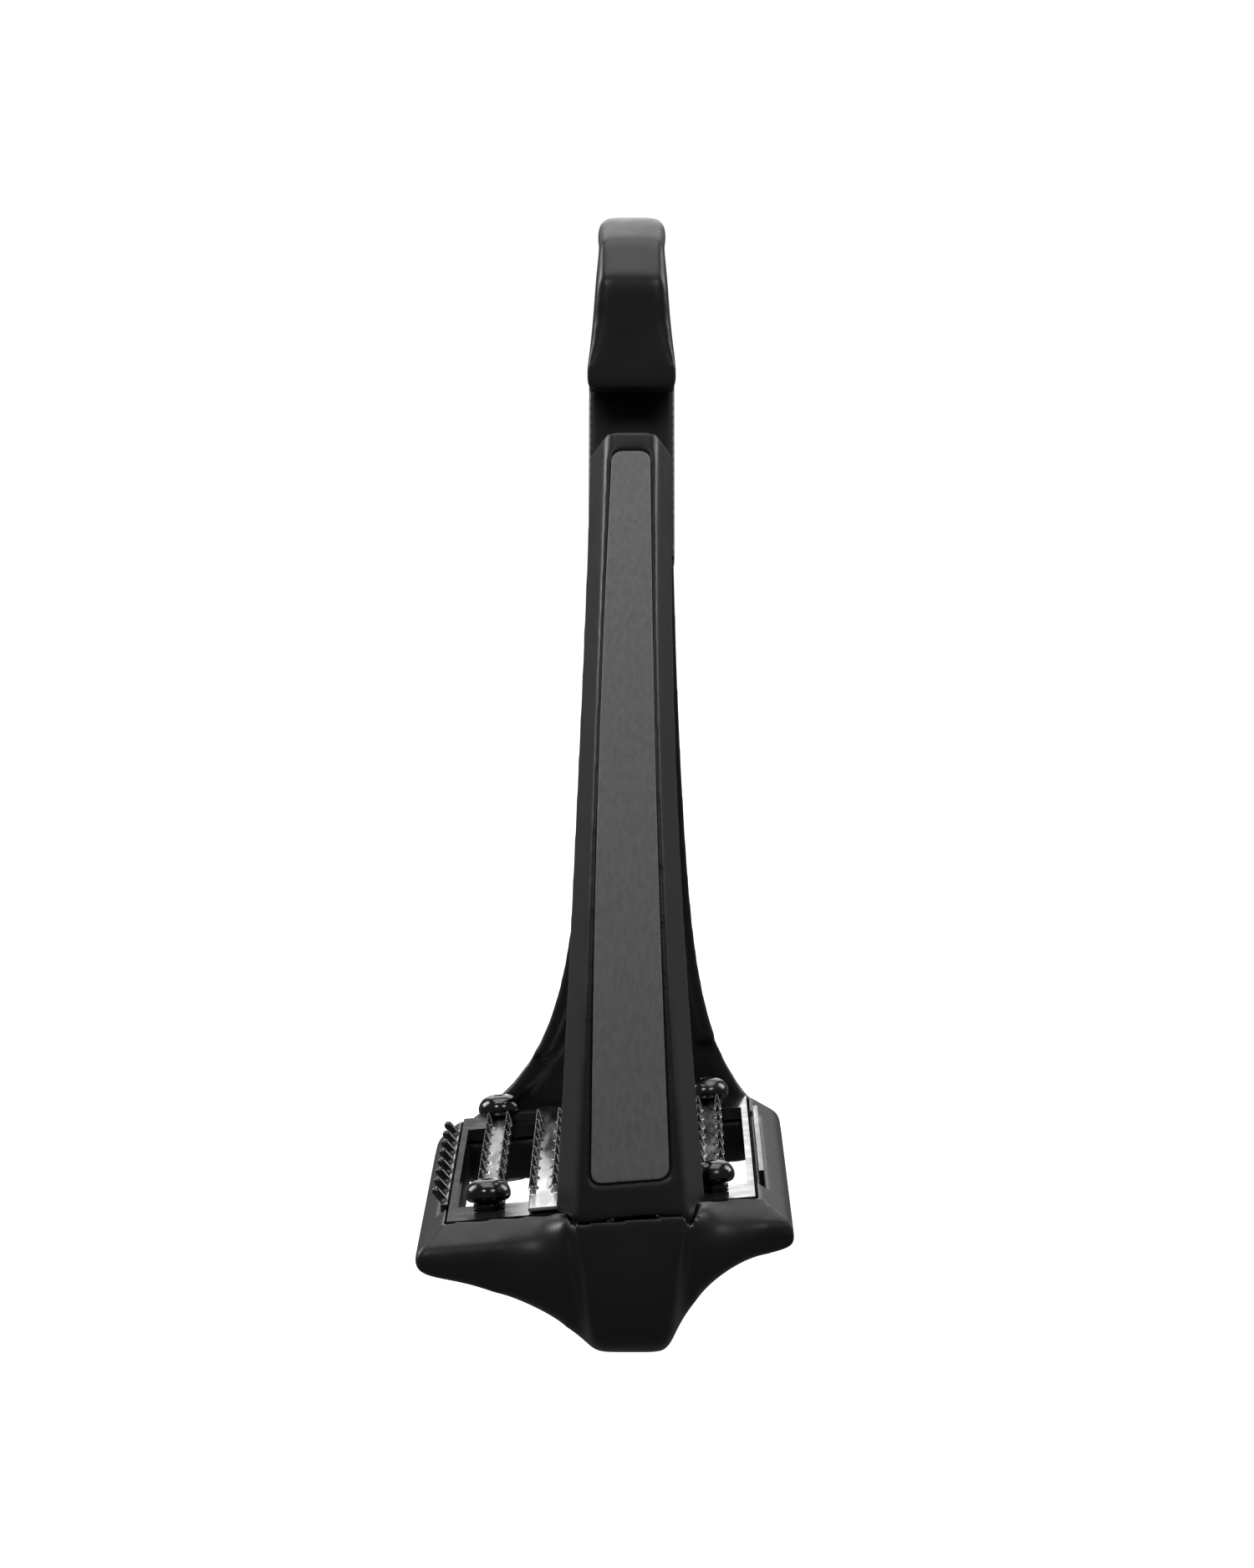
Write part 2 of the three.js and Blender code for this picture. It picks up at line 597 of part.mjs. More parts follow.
function gripChannel() {
  const floor = box([-1.9, -SCREW_Y - 4, GAP], [1.9, SCREW_Y + 4, 1]);
  const walls = [-1.5, 1.5].map((x) => toothedWall(x, ROW_HALF_LENGTH, TEETH).translate(0, 0, GAP - 0.2));
  const holes = [-SCREW_Y, SCREW_Y].map((y) => rod(vec(0, y, -1), vec(0, y, 5), 2.3));
  const ends = [-SCREW_Y, SCREW_Y].map((y) => rod(vec(0, y, GAP), vec(0, y, 1), 3.3));
  return cut(join([floor, ...walls, ...ends]), holes);
}

function centreGrip() {
  const floor = box([-10.6, -59.1, GAP], [10.6, 59.1, 1]);
  const walls = GRIP_ROWS.map((x) => toothedWall(x, ROW_HALF_LENGTH, TEETH).translate(0, 0, GAP - 0.2));
  const notch = box([HINGE_X - 4, -70, -1], [HINGE_X + 4, -57.5, 3]);
  return cut(join([floor, ...walls]), [notch]);
}

function treadPlate() {
  const x = DECK_HALF_WIDTH - GAP;
  const y = DECK_HALF_LENGTH - GAP;
  const plate = box([-x, -y, -PLATE_THICK], [x, y, 0]);
  const windows = WINDOW_EDGES.flatMap(([near, far]) => [[near, far], [-far, -near]]).map(([low, high]) => (
    box([low, -WINDOW_HALF_LENGTH, -9], [high, WINDOW_HALF_LENGTH, 9])
  ));
  const holes = screwPlaces().map(([a, b]) => rod(vec(a, b, -9), vec(a, b, 9), 2.4));
  const notch = box([HINGE_X - 4, -70, -9], [HINGE_X + 4, -58.6, 9]);
  return cut(plate, [...windows, ...holes, notch]);
}

function domeScrew() {
  const head = [[0, 0], [3.4, 0], [3.4, 0.9], [3.15, 1.7], [2.5, 2.6], [1.7, 3.1], [1.25, 3.2],
    [1.25, 1.4], [0, 1.4]];
  const cap = new THREE.LatheGeometry(head.map(([r, h]) => new THREE.Vector2(r, h)), 20);
  const shank = rod(vec(0, 0, -9), vec(0, 0, 0.5), 1.9, 16);
  return join([cap.rotateX(Math.PI / 2), shank]);
}

function threadInsert() {
  const body = rod(vec(0, 0, -END_DEPTH), vec(0, 0, -PLATE_THICK - 2 * GAP), INSERT_RADIUS);
  return cut(body, [rod(vec(0, 0, -12), vec(0, 0, 1), 2.2)]);
}

function edgeStud() {
  const outline = [[0, 0], [0.75, 0], [0.75, 2.1], [0.55, 2.6], [0, 2.85]];
  return new THREE.LatheGeometry(outline.map(([r, h]) => new THREE.Vector2(r, h)), 10).rotateX(Math.PI / 2);
}

function edgeComb() {
  const rail = box([COMB_EDGE, -COMB_HALF_LENGTH, -1.3], [COMB_EDGE + 1.1, COMB_HALF_LENGTH, 0.5]);
  const studs = Array.from({ length: TEETH }, (_, k) => (
    edgeStud().rotateY(-STUD_LEAN).translate(COMB_EDGE + 0.6, (k - (TEETH - 1) / 2) * TOOTH_PITCH, 0.1)
  ));
  return join([rail, ...studs]);
}

function edgeRidge() {
  return box([RIDGE_X, -38.5, -1.3], [RIDGE_X + 0.7, 38.5, 0.9]);
}

// ---- Assembly ----

part('frame', frame(), blackSatin);
part('release_arm', releaseArm(), blackSatin);
part('arm_inlay', inlayBody(0, 0.05, INLAY_THICK - 0.1), greyInlay);

part('hinge_pin', rod(vec(-PIN_HALF, 0, 0), vec(PIN_HALF, 0, 0), PIN_RADIUS, 24), brightSteel, hinge);
for (const [side, name] of [[-1, 'heel'], [1, 'toe']]) {
  part(`hinge_washer_${name}`, washer(side), bronze, hinge);
  part(`hinge_keeper_${name}`, keeper(side), darkSteel, hinge);
  part(`keeper_screw_${name}`, keeperScrew(side), darkSteel, hinge);
}

const armMagnetBack = armBack(MAGNET_LEAN) - 0.1;
const neckMagnetFront = stubDepth(MAGNET_LEAN) + 0.1;
for (const [name, front] of [['arm_magnet', armMagnetBack - 1.9], ['neck_magnet', neckMagnetFront]]) {
  part(name, normalRod(MAGNET_LEAN, front, front + 1.9, 2.6, 20), magnetNickel);
}
const dowelEnds = [armBack(DOWEL_LEAN) - 1.4, stubDepth(DOWEL_LEAN) + 4];
const bumperEnds = [armBack(BUMPER_LEAN) + 0.25, stubDepth(BUMPER_LEAN) + 1.5];
part('catch_dowel', normalRod(DOWEL_LEAN, ...dowelEnds, 0.9), brightSteel);
part('catch_bumper', normalRod(BUMPER_LEAN, ...bumperEnds, 1.2), blackRubber);

part('tread_plate', treadPlate(), blackSatin, deck);
part('centre_grip', centreGrip(), darkSteel, deck);
part('edge_comb', edgeComb(), darkSteel, deck);
part('edge_ridge', edgeRidge(), darkSteel, deck);
for (const [side, name] of [[-1, 'heel'], [1, 'toe']]) {
  part(`grip_channel_${name}`, gripChannel(), darkSteel, deck).position.x = side * CHANNEL_X;
}
screwPlaces().forEach(([x, y], k) => {
  part(`dome_screw_${k + 1}`, domeScrew(), darkSteel, deck).position.set(x, y, 1 + GAP);
  part(`thread_insert_${k + 1}`, threadInsert(), brightSteel, deck).position.set(x, y, 0);
});

export default stirrup;
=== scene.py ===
"""The looks of a safety stirrup iron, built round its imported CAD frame.

Metres, +Z up. X runs from heel to toe, -Y is the rider's outer side, and the origin is where the
stirrup leather bears, under the eye's top bar. The sizes below and the grips are in millimetres.
"""

import json
import math

import bmesh
import bpy
import numpy as np
from mathutils import Matrix, Vector


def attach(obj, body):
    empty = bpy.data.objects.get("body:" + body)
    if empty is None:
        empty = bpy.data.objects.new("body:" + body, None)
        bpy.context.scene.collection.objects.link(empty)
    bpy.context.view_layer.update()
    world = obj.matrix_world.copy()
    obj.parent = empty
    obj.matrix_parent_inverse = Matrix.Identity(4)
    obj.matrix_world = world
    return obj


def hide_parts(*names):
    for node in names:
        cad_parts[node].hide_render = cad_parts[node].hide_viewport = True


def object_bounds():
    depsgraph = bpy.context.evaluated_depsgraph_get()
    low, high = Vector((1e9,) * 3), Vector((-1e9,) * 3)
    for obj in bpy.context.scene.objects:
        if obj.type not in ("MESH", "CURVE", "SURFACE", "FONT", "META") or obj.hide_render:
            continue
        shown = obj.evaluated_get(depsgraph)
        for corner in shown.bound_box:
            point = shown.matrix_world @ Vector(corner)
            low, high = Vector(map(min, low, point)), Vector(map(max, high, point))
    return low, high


MM = 0.001

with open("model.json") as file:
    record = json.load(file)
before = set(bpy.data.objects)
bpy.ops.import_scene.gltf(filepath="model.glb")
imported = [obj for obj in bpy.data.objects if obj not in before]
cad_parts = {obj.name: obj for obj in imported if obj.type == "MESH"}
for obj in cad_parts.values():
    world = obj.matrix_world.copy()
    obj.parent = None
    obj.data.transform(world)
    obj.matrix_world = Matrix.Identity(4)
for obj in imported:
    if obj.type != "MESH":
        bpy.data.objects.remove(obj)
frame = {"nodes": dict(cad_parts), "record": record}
cad_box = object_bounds()
nodes = frame["nodes"]

# ---- Sizes ----

# Deck: the plane of the tread's top, from the mount that a boot rests on.
GRIP_FLOOR = 1.0
CHANNEL_X = 16.5
SCREW_Y = 50.0
TOOTH_PITCH = 11.0
TOOTH_COUNT = 8
ROW_HALF_LENGTH = 45.4
COMB_EDGE = -23.9
COMB_HALF_LENGTH = 43.2
GAP = 0.3

DOME_RADIUS = 3.4
DOME_HEIGHT = 3.2
DOME_SEAT = GRIP_FLOOR + GAP
TOOTH_ROW = 1.5
WIDE_GRIP_ROWS = (-10.2, -6.8, 6.8, 10.2)
WIDE_GRIP_HALF = (10.6, 59.1)

# Skins: mesh size, and how many smoothing passes ease the edges.
FRAME_VOXEL = 0.42
ARM_VOXEL = 0.26
INLAY_VOXEL = 0.14
CHANNEL_VOXEL = 0.13
WIDE_GRIP_VOXEL = 0.17
COMB_VOXEL = 0.13
DOME_VOXEL = 0.11
MAX_FACES = 190_000
CROWN_PASSES = 55
UNDERBODY_PASSES = 50
FLARE_PASSES = 120
INNER_FOOT_PASSES = 12


# ---- Node materials ----


class Paint:
    """A node material with a Principled shader, and short calls for the detail on it."""

    def __init__(self, name, color, roughness, metallic=0.0, specular=0.5):
        self.material = bpy.data.materials.new(name)
        self.material.use_nodes = True
        self.nodes = self.material.node_tree.nodes
        self.links = self.material.node_tree.links
        self.shader = self.nodes["Principled BSDF"]
        self.shader.inputs["Base Color"].default_value = (*color, 1)
        self.shader.inputs["Roughness"].default_value = roughness
        self.shader.inputs["Metallic"].default_value = metallic
        self.shader.inputs["Specular IOR Level"].default_value = specular
        self.place = self.nodes.new("ShaderNodeTexCoord").outputs["Object"]
        self.height = None

    def noise(self, scale, detail=3.0, stretch=(1, 1, 1)):
        mapping = self.nodes.new("ShaderNodeMapping")
        mapping.inputs["Scale"].default_value = stretch
        self.links.new(self.place, mapping.inputs["Vector"])
        noise = self.nodes.new("ShaderNodeTexNoise")
        noise.inputs["Scale"].default_value = scale
        noise.inputs["Detail"].default_value = detail
        self.links.new(mapping.outputs["Vector"], noise.inputs["Vector"])
        return noise.outputs["Fac"]

    def spread(self, value, low, high, start=0.35, end=0.65):
        """Maps a pattern's value from start..end to low..high."""
        ramp = self.nodes.new("ShaderNodeMapRange")
        ramp.inputs["From Min"].default_value = start
        ramp.inputs["From Max"].default_value = end
        ramp.inputs["To Min"].default_value = low
        ramp.inputs["To Max"].default_value = high
        self.links.new(value, ramp.inputs["Value"])
        return ramp.outputs["Result"]

    def tone(self, value, first, second):
        """The base colour runs between two colours with a pattern."""
        mix = self.nodes.new("ShaderNodeMix")
        mix.data_type = "RGBA"
        mix.inputs["A"].default_value = (*first, 1)
        mix.inputs["B"].default_value = (*second, 1)
        self.links.new(self.spread(value, 0, 1), mix.inputs["Factor"])
        self.links.new(mix.outputs["Result"], self.shader.inputs["Base Color"])

    def gloss(self, value, low, high):
        """Roughness runs between two values with a pattern."""
        self.links.new(self.spread(value, low, high), self.shader.inputs["Roughness"])

    def bump(self, value, distance, strength=1.0):
        """Relief with a pattern; each call lies over the one before."""
        bump = self.nodes.new("ShaderNodeBump")
        bump.inputs["Distance"].default_value = distance
        bump.inputs["Strength"].default_value = strength
        self.links.new(value, bump.inputs["Height"])
        if self.height is not None:
            self.links.new(self.height, bump.inputs["Normal"])
        self.height = bump.outputs["Normal"]
        self.links.new(self.height, self.shader.inputs["Normal"])


def black_satin():
    paint = Paint("black_satin", (0.011, 0.011, 0.0113), 0.36, specular=0.25)
    paint.tone(paint.noise(60), (0.0095, 0.0095, 0.0098), (0.0125, 0.0125, 0.0128))
    paint.gloss(paint.noise(220, detail=5), 0.33, 0.41)
    paint.bump(paint.noise(2600, detail=2), 0.00002, 0.4)
    return paint.material


def grey_inlay():
    paint = Paint("grey_inlay", (0.12, 0.12, 0.122), 0.5, specular=0.3)
    grain = paint.noise(1500, detail=4, stretch=(1, 1, 0.35))
    paint.tone(grain, (0.125, 0.125, 0.127), (0.15, 0.15, 0.152))
    paint.gloss(paint.noise(300, detail=4), 0.46, 0.58)
    paint.bump(grain, 0.00003, 0.4)
    return paint.material


def dark_steel():
    paint = Paint("dark_steel", (0.055, 0.055, 0.057), 0.18, metallic=1.0)
    paint.tone(paint.noise(90), (0.045, 0.045, 0.047), (0.065, 0.065, 0.067))
    paint.gloss(paint.noise(700, detail=5, stretch=(1, 0.1, 1)), 0.1, 0.24)
    paint.bump(paint.noise(1800, detail=2, stretch=(1, 0.15, 1)), 0.00001, 0.4)
    return paint.material


def grip_steel():
    paint = Paint("grip_steel", (0.4, 0.4, 0.405), 0.18, metallic=1.0)
    paint.tone(paint.noise(120), (0.36, 0.36, 0.365), (0.44, 0.44, 0.445))
    paint.gloss(paint.noise(600, detail=5, stretch=(1, 0.1, 1)), 0.12, 0.26)
    paint.bump(paint.noise(1500, detail=2, stretch=(1, 0.15, 1)), 0.00001, 0.4)
    return paint.material


def deck_black():
    paint = Paint("deck_black", (0.008, 0.008, 0.0083), 0.13, specular=0.3)
    paint.tone(paint.noise(70), (0.007, 0.007, 0.0072), (0.011, 0.011, 0.0112))
    paint.gloss(paint.noise(260, detail=2), 0.11, 0.15)
    return paint.material


def bright_steel():
    paint = Paint("bright_steel", (0.55, 0.55, 0.56), 0.25, metallic=1.0)
    paint.tone(paint.noise(150), (0.48, 0.48, 0.49), (0.6, 0.6, 0.61))
    paint.gloss(paint.noise(900, detail=5, stretch=(0.1, 1, 1)), 0.18, 0.34)
    return paint.material


def magnet_nickel():
    paint = Paint("magnet_nickel", (0.5, 0.49, 0.47), 0.22, metallic=1.0)
    paint.tone(paint.noise(200), (0.44, 0.43, 0.41), (0.54, 0.53, 0.51))
    paint.gloss(paint.noise(800, detail=5), 0.16, 0.32)
    return paint.material


def black_rubber():
    paint = Paint("black_rubber", (0.012, 0.012, 0.012), 0.8, specular=0.3)
    paint.tone(paint.noise(300), (0.01, 0.01, 0.01), (0.018, 0.018, 0.018))
    paint.gloss(paint.noise(900, detail=4), 0.7, 0.9)
    paint.bump(paint.noise(2400, detail=3), 0.00003, 0.5)
    return paint.material


def bearing_bronze():
    paint = Paint("bearing_bronze", (0.32, 0.19, 0.08), 0.35, metallic=1.0)
    paint.tone(paint.noise(180), (0.27, 0.16, 0.065), (0.36, 0.22, 0.1))
    paint.gloss(paint.noise(700, detail=5), 0.28, 0.45)
    return paint.material


SATIN = black_satin()
INLAY = grey_inlay()
DARK_STEEL_AND_ROW_SHADE = dark_steel()
GRIP_STEEL = grip_steel()
DECK_BLACK = deck_black()
BRIGHT_STEEL = bright_steel()
NICKEL = magnet_nickel()
RUBBER = black_rubber()
BRONZE = bearing_bronze()


# ---- Mesh helpers ----


def smoothstep(value, start, end):
    share = np.clip((value - start) / (end - start), 0, 1)
    return share * share * (3 - 2 * share)


def apply_modifiers(piece):
    graph = bpy.context.evaluated_depsgraph_get()
    mesh = bpy.data.meshes.new_from_object(piece.evaluated_get(graph))
    piece.modifiers.clear()
    piece.data = mesh


def points_of(mesh):
    points = np.empty(len(mesh.vertices) * 3)
    mesh.vertices.foreach_get("co", points)
    return points.reshape(-1, 3)


def ease(mesh, passes, share):
    """Moves points towards the middle of their neighbours, each by its own share."""
    edges = np.empty(len(mesh.edges) * 2, int)
    mesh.edges.foreach_get("vertices", edges)
    first, second = edges[0::2], edges[1::2]
    points = points_of(mesh)
    count = len(points)
    near = np.bincount(edges, minlength=count)
    for _ in range(passes):
        total = [
            np.bincount(first, points[second, k], count) + np.bincount(second, points[first, k], count)
            for k in range(3)
        ]
        middle = np.stack(total, 1) / near[:, None]
        points += 0.5 * share[:, None] * (middle - points)
    mesh.vertices.foreach_set("co", points.ravel())
    mesh.update()


def fuse(piece, voxel, passes, regions=(), faces=MAX_FACES):
    """One even skin over the piece's solids, its edges eased, and eased further in each region."""
    remesh = piece.modifiers.new("skin", "REMESH")
    remesh.mode = "VOXEL"
    remesh.voxel_size = voxel * MM
    apply_modifiers(piece)
    ease(piece.data, passes, np.ones(len(piece.data.vertices)))
    for extra, weight in regions:
        ease(piece.data, extra, weight(points_of(piece.data) / MM))
    triangles = 2 * len(piece.data.polygons)
    if triangles > faces:
        thin = piece.modifiers.new("thin", "DECIMATE")
        thin.ratio = faces / triangles
        apply_modifiers(piece)
    shade_smooth(piece)


def shade_smooth(piece):
    piece.data.polygons.foreach_set("use_smooth", [True] * len(piece.data.polygons))


def finish_piece(piece, body, slot, material, *replaced):
    piece.data.materials.clear()
    piece.data.materials.append(material)
    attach(piece, body)
    if replaced:
        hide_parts(*replaced)
    return piece


def copy_of(node, name):
    piece = bpy.data.objects.new(name, nodes[node].data.copy())
    bpy.context.scene.collection.objects.link(piece)
    return piece


def link_mesh(name, shape):
    """A new object from a bmesh, brought into the row frame from millimetres on the deck."""
    mesh = bpy.data.meshes.new(name)
    shape.transform(DECK @ Matrix.Scale(MM, 4))
    shape.to_mesh(mesh)
    shape.free()
    piece = bpy.data.objects.new(name, mesh)
    bpy.context.scene.collection.objects.link(piece)
    return piece


def deck_matrix():
    """The deck's own frame: X across it from heel to toe, Y along it, Z out of it, at its middle."""
    rest = next(m for m in frame["record"]["mounts"] if m["name"] == "boot_rest")
    up = Vector(rest["axis"]).normalized()
    across = Vector((0, 1, 0)).cross(up)
    origin = Vector(rest["pos_m"]) - up * GRIP_FLOOR * MM
    turn = Matrix((across, Vector((0, 1, 0)), up)).transposed()
    return Matrix.Translation(origin) @ turn.to_4x4()


DECK = deck_matrix()


# ---- Castings ----


# Each share runs from 0 to 1 over points in millimetres: where a region's extra easing acts.


def crown_share(p):
    return smoothstep(p[:, 2], -17, -9)


def underbody_share(p):
    return smoothstep(-p[:, 2], 140, 147)


def flare_share(p):
    beside_boss = smoothstep(np.abs(p[:, 0]), 9.2, 11) * smoothstep(-np.abs(p[:, 0]), -20, -17)
    return beside_boss * smoothstep(-p[:, 1], 60.4, 61.4)


def inner_foot_share(p):
    return smoothstep(p[:, 1], 50, 60) * smoothstep(-p[:, 2], 60, 100)


frame_casting = copy_of("frame", "frame_casting")
softer_regions = [
    (CROWN_PASSES, crown_share),
    (UNDERBODY_PASSES, underbody_share),
    (FLARE_PASSES, flare_share),
    (INNER_FOOT_PASSES, inner_foot_share),
]
fuse(frame_casting, FRAME_VOXEL, 3, softer_regions)
finish_piece(frame_casting, "frame", "black_satin", SATIN, "frame")

arm_casting = copy_of("release_arm", "arm_casting")
fuse(arm_casting, ARM_VOXEL, 22)
finish_piece(arm_casting, "arm", "black_satin", SATIN, "release_arm")

inlay_strip = copy_of("arm_inlay", "inlay_strip")
fuse(inlay_strip, INLAY_VOXEL, 2, faces=80_000)
finish_piece(inlay_strip, "arm", "grey_inlay", INLAY, "arm_inlay")


# ---- Grips ----


def add_box(shape, low, high):
    low, high = Vector(low), Vector(high)
    place = Matrix.Translation((low + high) / 2) @ Matrix.Diagonal((*(high - low), 1))
    bmesh.ops.create_cube(shape, size=1, matrix=place)


def add_cylinder(shape, radius, length, place, sides):
    """A closed cylinder about its place's Z axis, centred on it."""
    bmesh.ops.create_cone(
        shape, cap_ends=True, segments=sides, radius1=radius, radius2=radius, depth=length, matrix=place
    )


def add_tooth(shape, x, y):
    """A pyramid tooth astride its wall, with a small blunt tip."""
    signs = ((-1, -1), (1, -1), (1, 1), (-1, 1))

    def ring(half_x, half_y, height):
        return [shape.verts.new((x + sx * half_x, y + sy * half_y, height)) for sx, sy in signs]

    lower = ring(0.64, 1.7, 1.05)
    upper = ring(0.16, 0.2, 3.25)
    shape.faces.new(lower[::-1])
    shape.faces.new(upper)
    for k in range(4):
        shape.faces.new((lower[k], lower[(k + 1) % 4], upper[(k + 1) % 4], upper[k]))


def tooth_places():
    return [(k - (TOOTH_COUNT - 1) / 2) * TOOTH_PITCH for k in range(TOOTH_COUNT)]


def add_toothed_row(shape, x):
    half_thick, foot, top = 0.26, 0.4, 1.4
    add_box(shape, (x - half_thick, -ROW_HALF_LENGTH, foot), (x + half_thick, ROW_HALF_LENGTH, top))
    for y in tooth_places():
        add_tooth(shape, x, y)


def paint_row_shade(piece, lit_floor_half_length):
    """Painted shade: the toothed rows above the floor, and the floor's ends past the given half length, get
    the dark steel; on the rows it stands for the dark arm they reflect, on the floor's ends for the domes'
    shadow.
    """
    row_foot = GRIP_FLOOR + 0.14
    # The dark steel on this grip is painted shade, not a finish of its own.
    piece.data.materials.append(DARK_STEEL_AND_ROW_SHADE)
    along, up = np.array(DECK.inverted())[1:3]
    polygons = piece.data.polygons
    centres = np.empty(len(polygons) * 3)
    polygons.foreach_get("center", centres)
    places = centres.reshape(-1, 3) / MM
    heights = places @ up[:3] + up[3] / MM
    lengths = np.abs(places @ along[:3])
    # Faces that get the painted shade: the rows above the floor, and the floor's ends under the domes.
    painted_shade_faces = (heights > row_foot) | (lengths > lit_floor_half_length)
    polygons.foreach_set("material_index", painted_shade_faces.astype(int))


def narrow_channel(name, node, side):
    """Two toothed rows on a floor that ends in round eyes under the domed screws."""
    half_width, end, eye_radius = 1.9, SCREW_Y + 1.5, 2.3
    x = side * CHANNEL_X
    shape = bmesh.new()
    add_box(shape, (x - half_width, -end, GAP), (x + half_width, end, GRIP_FLOOR))
    for row in (-TOOTH_ROW, TOOTH_ROW):
        add_toothed_row(shape, x + row)
    for y in (-SCREW_Y, SCREW_Y):
        middle = Matrix.Translation((x, y, (GAP + GRIP_FLOOR) / 2))
        add_cylinder(shape, eye_radius, GRIP_FLOOR - GAP, middle, 48)
    channel = link_mesh(name, shape)
    fuse(channel, CHANNEL_VOXEL, 1, faces=90_000)
    finish_piece(channel, "frame", "dark_steel", GRIP_STEEL, node)
    # Painted shade: the rows are darkened for the arm they reflect, and the floor's ends for the domes'
    # shadow.
    paint_row_shade(channel, SCREW_Y - DOME_RADIUS)


narrow_channel("heel_channel", "grip_channel_heel", -1)
narrow_channel("toe_channel", "grip_channel_toe", 1)


def wide_grip():
    """Two pairs of toothed rows on a wide floor."""
    half_width, half_length = WIDE_GRIP_HALF
    shape = bmesh.new()
    add_box(shape, (-half_width, -half_length, GAP), (half_width, half_length, GRIP_FLOOR))
    for x in WIDE_GRIP_ROWS:
        add_toothed_row(shape, x)
    grip = link_mesh("wide_grip", shape)
    fuse(grip, WIDE_GRIP_VOXEL, 1, faces=140_000)
    finish_piece(grip, "frame", "dark_steel", GRIP_STEEL, "centre_grip")
    # Painted shade on the rows only; the wide floor's ends stay bright.
    paint_row_shade(grip, half_length + 1)


wide_grip()


def comb():
    """A rail along the heel edge with round-nosed rods that lean outwards."""
    rail_foot, rail_width, rail_top = -1.3, 1.1, 0.4
    radius, length, lean = 0.67, 2.1, math.radians(-36)
    low = (COMB_EDGE, -COMB_HALF_LENGTH, rail_foot)
    high = (COMB_EDGE + rail_width, COMB_HALF_LENGTH, rail_top)
    shape = bmesh.new()
    add_box(shape, low, high)
    for y in tooth_places():
        foot = Matrix.Translation((COMB_EDGE + 0.65, y, 0.1)) @ Matrix.Rotation(lean, 4, "Y")
        add_cylinder(shape, radius, length, foot @ Matrix.Translation((0, 0, length / 2)), 24)
        bmesh.ops.create_uvsphere(
            shape, u_segments=24, v_segments=16, radius=radius,
            matrix=foot @ Matrix.Translation((0, 0, length)),
        )
    edge = link_mesh("heel_comb", shape)
    fuse(edge, COMB_VOXEL, 2, faces=60_000)
    return finish_piece(edge, "frame", "dark_steel", DARK_STEEL_AND_ROW_SHADE, "edge_comb")


comb()


def add_lathe(shape, profile, sides):
    """A closed body of revolution about Z. The profile starts and ends on the axis."""
    rings = [
        [
            shape.verts.new((r * math.cos(2 * math.pi * k / sides), r * math.sin(2 * math.pi * k / sides), z))
            for k in range(sides)
        ]
        for r, z in profile[1:-1]
    ]
    start = shape.verts.new((0, 0, profile[0][1]))
    end = shape.verts.new((0, 0, profile[-1][1]))
    for k in range(sides):
        n = (k + 1) % sides
        shape.faces.new((start, rings[0][n], rings[0][k]))
        shape.faces.new((end, rings[-1][k], rings[-1][n]))
        for lower, upper in zip(rings, rings[1:]):
            shape.faces.new((lower[k], lower[n], upper[n], upper[k]))


def dome_profile():
    """The domed head from under its rim, over the crown and down to the socket's mouth."""
    rim, mouth, undercut = 1.0, 1.0, 0.8
    shank_radius, shank_length = 1.9, 6
    lower_steps, upper_steps = 6, 14
    quarter = math.radians(90)
    profile = [(0, -shank_length), (shank_radius, -shank_length), (shank_radius, 0)]
    for k in range(lower_steps):
        angle = quarter * k / lower_steps
        profile.append((DOME_RADIUS - undercut * (1 - math.sin(angle)), rim * (1 - math.cos(angle))))
    for k in range(upper_steps):
        angle = quarter * k / upper_steps
        across = mouth + (DOME_RADIUS - mouth) * math.cos(angle)
        profile.append((across, rim + (DOME_HEIGHT - rim) * math.sin(angle)))
    return [*profile, (mouth, DOME_HEIGHT), (0, DOME_HEIGHT)]


def dome_screw(index, x, y):
    """A domed head with a hexagonal socket in it."""
    key_radius, key_length, key_floor = 0.95, 4, 2
    shape = bmesh.new()
    add_lathe(shape, dome_profile(), 64)
    shape.transform(Matrix.Translation((x, y, DOME_SEAT)))
    head = link_mesh(f"socket_dome_{index}", shape)
    key = bmesh.new()
    key_middle = DOME_SEAT + key_floor + key_length / 2
    add_cylinder(key, key_radius, key_length, Matrix.Translation((x, y, key_middle)), 6)
    cutter = link_mesh("key_hole", key)
    hole = head.modifiers.new("socket", "BOOLEAN")
    hole.object = cutter
    hole.operation = "DIFFERENCE"
    apply_modifiers(head)
    bpy.data.objects.remove(cutter)
    fuse(head, DOME_VOXEL, 2, faces=40_000)
    return finish_piece(head, "frame", "dark_steel", DARK_STEEL_AND_ROW_SHADE, f"dome_screw_{index}")


corners = [(x, y) for x in (-CHANNEL_X, CHANNEL_X) for y in (-SCREW_Y, SCREW_Y)]
for number, (x, y) in enumerate(corners, 1):
    dome_screw(number, x, y)


# ---- CAD nodes that stay, with eased edges ----


def dress(node, material, width, segments=3):
    """A CAD node keeps its shape, and gets fine bevels on its edges and its own material."""
    piece = nodes[node]
    piece.data.materials.clear()
    piece.data.materials.append(material)
    shade_smooth(piece)
    bevel = piece.modifiers.new("edges", "BEVEL")
    bevel.width = width * MM
    bevel.segments = segments
    bevel.limit_method = "ANGLE"
    bevel.angle_limit = math.radians(40)
    piece.modifiers.new("normals", "WEIGHTED_NORMAL").keep_sharp = True


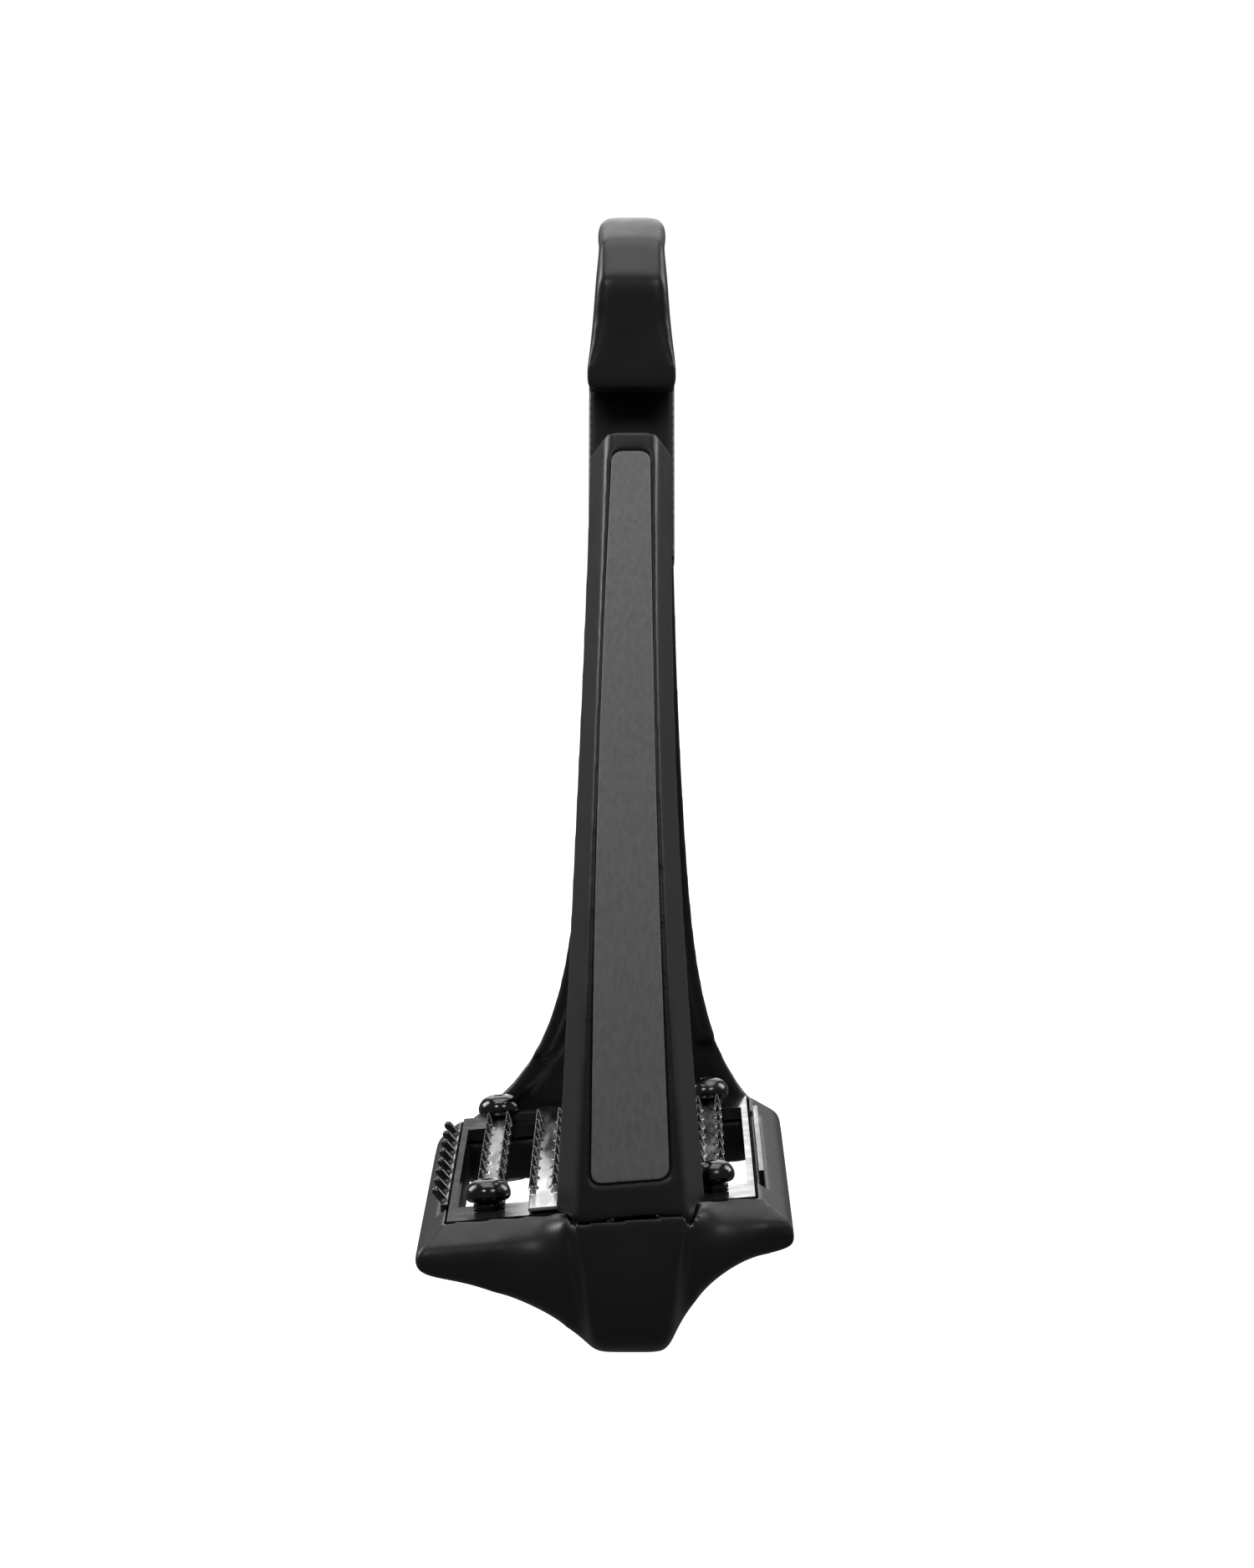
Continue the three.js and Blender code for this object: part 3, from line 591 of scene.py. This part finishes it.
dress("tread_plate", DECK_BLACK, 0.18)
dress("edge_ridge", DARK_STEEL_AND_ROW_SHADE, 0.12)
dress("hinge_pin", BRIGHT_STEEL, 0.2)
dress("arm_magnet", NICKEL, 0.15)
dress("neck_magnet", NICKEL, 0.15)
dress("catch_dowel", BRIGHT_STEEL, 0.2)
dress("catch_bumper", RUBBER, 0.25)
for side in ("heel", "toe"):
    dress(f"hinge_washer_{side}", BRONZE, 0.06)
    dress(f"hinge_keeper_{side}", DARK_STEEL_AND_ROW_SHADE, 0.15)
    dress(f"keeper_screw_{side}", DARK_STEEL_AND_ROW_SHADE, 0.12)
for number in range(1, 5):
    dress(f"thread_insert_{number}", BRIGHT_STEEL, 0.12)


# ---- Stage, light and camera ----


def stage_floor():
    """A plain pale floor well below the hanging stirrup."""
    drop, reach = 0.32, 6.0
    bpy.ops.mesh.primitive_plane_add(size=2 * reach, location=(0, 0, cad_box[0].z - drop))
    floor = bpy.context.object
    floor.name = "floor"
    paint = Paint("floor_white", (0.9, 0.9, 0.9), 0.9, specular=0.2)
    paint.shader.inputs["Emission Color"].default_value = (1, 1, 1, 1)
    paint.shader.inputs["Emission Strength"].default_value = 1.2
    floor.data.materials.append(paint.material)
    floor.visible_diffuse = False
    floor.visible_glossy = False


def surroundings():
    """White behind the object to the eye, and a soft grey room to everything it lights."""
    world = bpy.data.worlds.new("room")
    world.use_nodes = True
    tree = world.node_tree
    tree.nodes.clear()
    output = tree.nodes.new("ShaderNodeOutputWorld")
    seen = tree.nodes.new("ShaderNodeBackground")
    seen.inputs["Strength"].default_value = 1.05
    seen.inputs["Color"].default_value = (1, 1, 1, 1)
    room = tree.nodes.new("ShaderNodeBackground")
    room.inputs["Strength"].default_value = 0.16
    room.inputs["Color"].default_value = (1, 1, 1, 1)
    path = tree.nodes.new("ShaderNodeLightPath")
    mix = tree.nodes.new("ShaderNodeMixShader")
    tree.links.new(path.outputs["Is Camera Ray"], mix.inputs["Fac"])
    tree.links.new(room.outputs["Background"], mix.inputs[1])
    tree.links.new(seen.outputs["Background"], mix.inputs[2])
    tree.links.new(mix.outputs["Shader"], output.inputs["Surface"])
    bpy.context.scene.world = world


def softbox(name, place, width, height, power, aim=(0, 0, -0.08)):
    light = bpy.data.lights.new(name, "AREA")
    light.shape = "RECTANGLE"
    light.size = width
    light.size_y = height
    light.energy = power
    lamp = bpy.data.objects.new(name, light)
    lamp.location = place
    lamp.rotation_euler = (Vector(aim) - Vector(place)).to_track_quat("-Z", "Y").to_euler()
    lamp.visible_camera = False
    bpy.context.scene.collection.objects.link(lamp)


def camera():
    """A long lens from the rider's outer side, a few degrees above the tread."""
    data = bpy.data.cameras.new("camera")
    data.lens = 193.03
    data.sensor_width = 36
    data.clip_start = 0.05
    data.clip_end = 50
    eye = bpy.data.objects.new("camera", data)
    eye.location = (2.4 * MM, -1275.1 * MM, 29.8 * MM)
    down, left = math.radians(4.948), math.radians(0.141)
    eye.rotation_euler = (math.radians(90) - down, 0, left)
    bpy.context.scene.collection.objects.link(eye)
    bpy.context.scene.camera = eye


stage_floor()
surroundings()
softbox("overhead", (0, 0.1, 0.8), 0.8, 0.8, 6.5)
softbox("high_back", (0, 1.1, 0.75), 1.0, 0.5, 3.4)
softbox("middle_back", (0, 1.4, 0.34), 0.9, 0.36, 1.7)
softbox("low_back", (-0.03, 1.4, -0.015), 0.076, 0.2, 0.13, aim=(0, 0, -0.13))
softbox("left_high", (-0.85, 0.38, 0.45), 0.45, 0.55, 7.5)
softbox("right_high", (0.85, 0.38, 0.45), 0.45, 0.55, 6.0)
softbox("left_front", (-0.45, -0.9, 0.75), 0.3, 0.3, 2.6)
softbox("right_front", (0.45, -0.9, 0.75), 0.3, 0.3, 2.6)
camera()
bpy.context.scene.view_settings.view_transform = "Standard"
